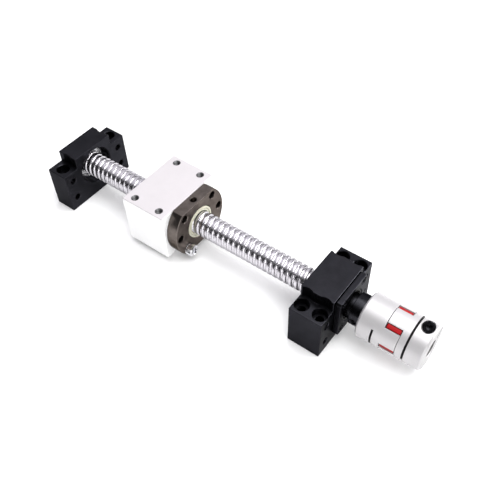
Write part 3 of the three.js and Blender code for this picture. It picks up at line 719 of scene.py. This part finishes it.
# ------------------------------------------------------------------ ball nut
fx0, fx1, nx0 = -132.5, -122.5, -173.5
body = lathe("flanged_nut", [(nx0, 0), (nx0, 18.0, 0.8), (fx0, 18.0, 0.5), (fx0, 29.0, 0.7), (fx1, 29.0, 0.9), (fx1, 0)], 144)
boolean(body, [box("flats", (nx0 - 1, -31, AX - 22), (fx1 + 1, 31, AX + 22))], "INTERSECT")
bevel_where(body, lambda e: all(abs(abs(v.co.z - AX) - 22) < 1e-3 for v in e.verts), 0.6, 3)
cuts = [drill((0, 0, AX), (1, 0, 0), [(nx0 - 2, 14.2), (nx0 + 3.8, 14.2), (nx0 + 3.8, 10.55), (fx1 - 3.8, 10.55), (fx1 - 3.8, 14.2), (fx1 - 0.4, 14.2), (fx1, 14.6), (fx1 + 2, 16.6)], 96)]
for a in (0, 45, 135, 180, 225, 315):
    y, z = 23.5 * math.cos(math.radians(a)), 23.5 * math.sin(math.radians(a))
    cuts.append(drill((0, y, AX + z), (1, 0, 0), [(fx0 - 2, 5.7), (fx0, 3.7), (fx0 + 0.4, 3.3), (fx1 - 0.4, 3.3), (fx1, 3.7), (fx1 + 2, 5.7)], 48))
cuts.append(drill((-127.5, 0, AX), (0, 0, 1), [(15, 0.4), (16.5, 2.5), (21.5, 2.5), (22.0, 3.0), (24, 5.0)], 36))
cuts.append(drill((-128.6, 0, AX), (0, 0, 1), [(9, 1.1), (17, 1.1)], 20))
boolean(body, cuts)

CIR0 = HELIX0 + 18 * LEAD


def helix_tube(a0, a1, orbit, r, steps=60, sides=16):
    bm = bmesh.new()
    rings = []
    for i in range(steps + 1):
        a = math.radians(a0 + (a1 - a0) * i / steps)
        cen = Vector((CIR0 + LEAD * a / (2 * math.pi), orbit * math.cos(a), AX + orbit * math.sin(a)))
        rad = Vector((0, math.cos(a), math.sin(a)))
        tan = Vector((LEAD / (2 * math.pi), -orbit * math.sin(a), orbit * math.cos(a))).normalized()
        bi = tan.cross(rad)
        rings.append([bm.verts.new(cen + rad * (r * math.cos(t)) + bi * (r * math.sin(t))) for t in [2 * math.pi * k / sides for k in range(sides)]])
    for p, q in zip(rings, rings[1:]):
        for k in range(sides):
            bm.faces.new((p[k], p[(k + 1) % sides], q[(k + 1) % sides], q[k]))
    bm.faces.new(rings[0])
    bm.faces.new(rings[-1])
    return new_obj("cutter", bm)


def plug(name, k, half, half_t, r0, r1, bevel=0.0):
    s = half - half_t
    pts = [(s + half_t * math.cos(t), half_t * math.sin(t)) for t in np.linspace(-math.pi / 2, math.pi / 2, 13)] + [(-s + half_t * math.cos(t), half_t * math.sin(t)) for t in np.linspace(math.pi / 2, 3 * math.pi / 2, 13)]
    bm = bmesh.new()
    lo = [bm.verts.new((x, y, r0)) for x, y in pts]
    hi = [bm.verts.new((x, y, r1)) for x, y in pts]
    bm.faces.new(lo)
    bm.faces.new(hi)
    for i in range(len(pts)):
        j = (i + 1) % len(pts)
        bm.faces.new((lo[i], lo[j], hi[j], hi[i]))
    bmesh.ops.recalc_face_normals(bm, faces=bm.faces)
    if bevel:
        bmesh.ops.bevel(bm, geom=[e for e in bm.edges if e.calc_face_angle(0) > 1.0], offset=bevel, segments=2, profile=0.5, affect="EDGES")
    m = Matrix.Translation((0, 0, AX)) @ Matrix.Rotation(math.radians(k * 450 - 90), 4, "X") @ Matrix.Translation((CIR0 + LEAD * (k * 450 + 180) / 360, 0, 0))
    bmesh.ops.transform(bm, matrix=m, verts=bm.verts)
    return new_obj(name, bm)


for k in range(4):
    boolean(body, [helix_tube(k * 450 + 2, k * 450 + 358, 10.28, 1.68), plug("cutter", k, 4.9, 3.0, 9.0, 20.0)])
done(body, "nut_carriage", "ball_nut", MAT["nut"], "nut_steel", 28)

for k in range(4):
    parts = []
    a = k * 450 + 18.0
    step = math.degrees(3.2 / math.hypot(10.25, LEAD / (2 * math.pi)))
    while a < k * 450 + 342:
        t = math.radians(a)
        bm = bmesh.new()
        bmesh.ops.create_uvsphere(bm, u_segments=16, v_segments=10, radius=1.5875)
        bmesh.ops.translate(bm, vec=(CIR0 + LEAD * t / (2 * math.pi), 10.25 * math.cos(t), AX + 10.25 * math.sin(t)), verts=bm.verts)
        parts.append(new_obj("ball", bm))
        a += step
    done(merge(f"ball_row_{k + 1}", parts), "nut_carriage", f"nut_ball_circuit_{k + 1}", MAT["ball"], "ball_steel")
    p = plug(f"return_cap_{k + 1}", k, 4.75, 2.85, 10.6, 17.7, 0.25)
    done(p, "nut_carriage", f"nut_return_insert_{k + 1}", MAT["insert"], "insert_steel")

# wipers: moulded ring with a stepped face and a thin lip that follows the shaft
for nm, xf, s in (("front", fx1, 1), ("rear", nx0, -1)):
    w = lathe("wiper_" + nm, [(xf + 0.1 * s, 13.9, 0.25), (xf + 0.1 * s, 12.4, 0.2), (xf - 0.5 * s, 11.9, 0.2), (xf - 0.5 * s, 11.0, 0.2), (xf - 0.1 * s, 10.35, 0.1), (xf - 1.3 * s, 10.15, 0.1), (xf - 3.5 * s, 10.5, 0.2), (xf - 3.5 * s, 13.9, 0.3)], 96, True, 3)
    done(w, "nut_carriage", "nut_wiper_" + nm, MAT["wiper"], "wiper_plastic", 40)

# ------------------------------------------------------------------ nut housing
x0, x1 = bx("nut_housing")
hm = (x0 + x1) / 2
o = box("nut_bracket", (x0, -31, 6), (x1, 31, 50), 0.7, 4)
cuts = [drill((0, 0, AX), (1, 0, 0), [(x0 - 2, 20.9), (x0, 18.9), (x0 + 0.6, 18.3), (x1 - 0.6, 18.3), (x1, 18.9), (x1 + 2, 20.9)], 96)]
for s in (-1, 1):
    for t in (-1, 1):
        th = [(-12, 0.2), (-10.8, 2.45)]
        z = -10.6
        while z < -0.9:
            th += [(z, 2.45), (z + 0.45, 2.95), (z + 0.6, 2.95)]
            z += 1.0
        th += [(-0.55, 2.6), (0, 3.25), (2, 5.25)]
        cuts.append(drill((hm + t * 12.5, s * 25.0, 50), (0, 0, 1), th, 36))
for a in (0, 45, 135, 180, 225, 315):
    y, z = 23.5 * math.cos(math.radians(a)), 23.5 * math.sin(math.radians(a))
    cuts.append(drill((x1, y, AX + z), (1, 0, 0), [(-18, 0.2), (-16.8, 2.6), (-0.5, 2.6), (0, 3.1), (2, 5.1)], 32))
boolean(o, cuts)
done(o, "nut_carriage", "nut_housing", [MAT["house"], MAT["house_side_painted_light"], MAT["hole"]], "housing_aluminium", 28)
for q in o.data.polygons:  # the sides are painted much brighter than the milled top: painted light that makes them read as lit white
    if q.normal.z < 0.9 and q.center.z < 0.0496:
        q.material_index = 1
    # faces inside the four tapped holes take the dark hole colour: painted shade
    for sx in (-0.0125, 0.0125):
        if math.hypot(q.center.x - hm * MM - sx, abs(q.center.y) - 0.025) < 0.0031 and 0.03 < q.center.z < 0.04999:
            q.material_index = 2

for i, sy in enumerate((-1, 1)):
    r = 23.5 * math.sqrt(0.5)
    s = cap_screw(f"nut_screw_m6_{i + 1}", (fx1 + 0.1, sy * r, AX - r), (1, 0, 0), 5.0, 6.0, 2.5, 22.0, 2.9, 3.0, 40, 1.0)
    done(s, "nut_carriage", f"nut_mount_screw_{i + 1}", MAT["zinc"], "zinc_screw")

# ------------------------------------------------------------------ coupling
R = 17.5


def jaw(centre, xa, xb):
    off, ri = 2.0 + 0.12, 8.9
    ao, ai = 30 - math.degrees(math.asin(off / R)), 30 - math.degrees(math.asin(off / ri))
    pts = [(R * math.cos(math.radians(centre - ao + 2 * ao * i / 16)), AX + R * math.sin(math.radians(centre - ao + 2 * ao * i / 16))) for i in range(17)]
    pts += [(ri * math.cos(math.radians(centre + ai - 2 * ai * i / 8)), AX + ri * math.sin(math.radians(centre + ai - 2 * ai * i / 8))) for i in range(9)]
    return prism("jaw", pts, min(xa, xb), max(xa, xb), 0.28, 2)


def hub(name, xa, xb, end, tip, bore, slit_x, slit_end, clamp_x, slit_deg, jaws):
    """xa is the end face, but it is not used; xb is the jaw side."""
    s = 1 if end > tip else -1
    o = lathe(name, [(end, bore + 0.0, 0.0), (end, R - 1.2, 0.5), (end - 1.2 * s, R, 0.8), (xb, R, 0.15), (xb, bore, 0.2)], 144, True)
    bore_cut = drill((0, 0, AX), (1, 0, 0), sorted([(end + 2 * s, bore + 2.6), (end, bore + 0.6), (end - 0.6 * s, bore), (xb - 1 * s, bore)]), 72)
    # a box with rounded inner corners is only a slot here: two saw cuts and the clamp screw's seat
    lo, hi = sorted((slit_x, end + 1.0 * s))
    cuts = [
        bore_cut,
        spin(box("slot", (slit_x - 0.8, slit_end, AX - 30), (slit_x + 0.8, 30, AX + 30)), slit_deg),
        spin(box("slot", (lo, 0, AX - 0.75), (hi, 30, AX + 0.75)), slit_deg),
        spin(drill((clamp_x, 12.0, AX), (0, 0, 1), [(-25, 2.2), (5.0, 2.2), (5.0, 4.7), (20, 4.7)], 48), slit_deg),
    ]
    boolean(o, cuts)
    boolean(o, [jaw(a, xb + 0.5 * s, tip) for a in jaws], "UNION")
    bevel_where(o, lambda e: max(abs(math.hypot(v.co.y, v.co.z - AX) - R) for v in e.verts) < 0.02 and (e.verts[1].co - e.verts[0].co).length < 12, 0.16, 2)
    return o


ha = hub("coupling_hub_a", 29.8, 48.8, 29.8, 60.45, 6.15, 42.1, -7.9, 35.6, -91, (37, 157, 277))
done(ha, "screw", "coupling_hub_screw_side", [MAT["alu"], MAT["cut"], MAT["bore"]], "coupling_aluminium", 28)
hb = hub("coupling_hub_b", 79.8, 60.8, 79.8, 49.15, 7.0, 66.6, -16, 73.2, 37, (97, 217, 337))
done(hb, "screw", "coupling_hub_motor_side", [MAT["alu"], MAT["cut"], MAT["bore"], MAT["alu_end_painted_shade"]], "coupling_aluminium", 28)
for o, slit_x, slit_deg, bore in ((ha, 42.1, -91, 6.15), (hb, 66.6, 37, 7.0)):
    for q in o.data.polygons:
        ry, rz = q.center.y / MM, q.center.z / MM - AX
        away = -ry * math.sin(math.radians(slit_deg)) + rz * math.cos(math.radians(slit_deg))
        # slit walls, and a strip along the radial cut, take the near-black: painted shade
        if abs(q.center.x / MM - slit_x) < 1.0 and abs(q.normal.x) > 0.9:
            q.material_index = 1
        elif abs(away) < 0.8 and math.hypot(ry, rz) > bore + 0.8 and abs(ry * q.normal.y + rz * q.normal.z) < 0.4 * math.hypot(ry, rz) and abs(q.normal.x) < 0.1 and abs(q.center.x / MM - 54.8) > 6.0:
            q.material_index = 1
        # bore walls take the darker grey: painted shade
        elif math.hypot(ry, rz) < bore + 0.25 and abs(q.normal.x) < 0.3:
            q.material_index = 2
        # the hub's end face takes the darker aluminium: painted shade
        elif o is hb and q.normal.x > 0.9 and q.center.x / MM > 79.6:
            q.material_index = 3


def arm_shape(xa, xb, ang):
    # an arm with softly crowned sides and a rounded outer end
    pts = [(6.0, -1.8), (10, -1.85), (16.2, -1.85), (16.85, -1.4), (17.0, 0), (16.85, 1.4), (16.2, 1.85), (10, 1.85), (6.0, 1.8)]
    o = prism("arm", [(u, AX + v) for u, v in pts], xa, xb, 0.45, 3)
    return spin(o, ang)


sp = lathe("spider_core", [(49.0, 4.5, 0.5), (49.0, 8.7, 0.5), (60.6, 8.7, 0.5), (60.6, 4.5, 0.5)], 96, True)
boolean(sp, [arm_shape(49.55, 60.05, 7 + 60 * i) for i in range(6)], "UNION")
sp.name = "spider"
done(sp, "screw", "coupling_spider", MAT["red"], "red_elastomer", 40)
for nm, x, a in (("screw_side", 35.6, -91), ("motor_side", 73.2, 37)):
    s = cap_screw("clamp_screw_m5_" + nm, (x, 12.0, AX + 5.1), (0, 0, 1), 4.25, 5.0, 2.1, 14.5, 2.3, 2.6, 32, 0.8)
    spin(s, a)
    done(s, "screw", "coupling_clamp_screw_" + nm, MAT["black"], "black_oxide_steel")

# ------------------------------------------------------------------ stage
bm = bmesh.new()
bmesh.ops.create_grid(bm, x_segments=8, y_segments=8, size=2.2)
bmesh.ops.translate(bm, vec=(-0.09, 0, -0.0002), verts=bm.verts)
floor = new_obj("floor", bm)
fm, nt, p = nodes_of("floor_paint")
p.inputs["Base Color"].default_value = (0.96, 0.96, 0.96, 1)
p.inputs["Roughness"].default_value = 0.9
p.inputs["Specular IOR Level"].default_value = 0.1
floor.data.materials.append(fm)
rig.stage(floor)

world = bpy.data.worlds.new("studio")
bpy.context.scene.world = world
world.use_nodes = True
nt = world.node_tree
bg = nt.nodes["Background"]
tc = nt.nodes.new("ShaderNodeTexCoord")
dp = nt.nodes.new("ShaderNodeVectorMath")
dp.operation = "DOT_PRODUCT"
nt.links.new(tc.outputs["Generated"], dp.inputs[0])
dp.inputs[1].default_value = (-0.49, 0.45, 0.745)
hz = nt.nodes.new("ShaderNodeMapRange")
hz.inputs["From Min"].default_value, hz.inputs["From Max"].default_value = 0.33, 0.88
nt.links.new(dp.outputs["Value"], hz.inputs["Value"])
rp = ramp(nt, hz.outputs["Result"], [(0.0, (0.012, 0.012, 0.014)), (0.12, (0.05, 0.05, 0.055)), (0.5, (0.48, 0.48, 0.50)), (1.0, (0.98, 0.96, 1.01))])
nt.links.new(rp.outputs["Color"], bg.inputs["Color"])
bg.inputs["Strength"].default_value = 1.0


def area(name, loc, target, size, power, size_y=None, col=(1, 1, 1)):
    d = bpy.data.lights.new(name, "AREA")
    d.energy = power
    d.color = col
    d.shape = "RECTANGLE"
    d.size = size
    d.size_y = size_y or size
    o = bpy.data.objects.new(name, d)
    bpy.context.scene.collection.objects.link(o)
    o.location = loc
    o.rotation_euler = (Vector(target) - Vector(loc)).to_track_quat("-Z", "Y").to_euler()
    return o


mid = (-0.09, 0, 0.02)
area("softbox_top", (0.25, 0.10, 1.25), mid, 1.35, 25.5, 1.25)
area("fill_front", (0.55, -0.80, 0.30), mid, 0.9, 4.6, 0.45)
area("reflector_right", (0.40, 0.42, 0.16), (0.0, 0.0, 0.03), 0.36, 3.0, 0.16)

# ------------------------------------------------------------------ camera
cam_d = bpy.data.cameras.new("camera")
cam = bpy.data.objects.new("camera", cam_d)
bpy.context.scene.collection.objects.link(cam)
C = Vector((213.49 - 80.4, -264.45, 386.87 + AX)) * MM
right = Vector((0.7991, 0.6006, -0.0270)).normalized()
fwd = Vector((-0.4130, 0.5157, -0.7507))
fwd = (fwd - right * fwd.dot(right)).normalized()
up = right.cross(fwd)
cam.matrix_world = Matrix(((right.x, up.x, -fwd.x, C.x), (right.y, up.y, -fwd.y, C.y), (right.z, up.z, -fwd.z, C.z), (0, 0, 0, 1)))
cam_d.sensor_width = 36.0
cam_d.lens = 664.1 / 488 * 36.0
cam_d.clip_start = 0.01
cam_d.clip_end = 20
bpy.context.scene.camera = cam
bpy.context.scene.view_settings.view_transform = "Standard"

json.dump({"cad": [list(map(float, p)) for p in CAD_BOX], "visual": [list(map(float, p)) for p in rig.bounds()]}, open("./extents.json", "w"))
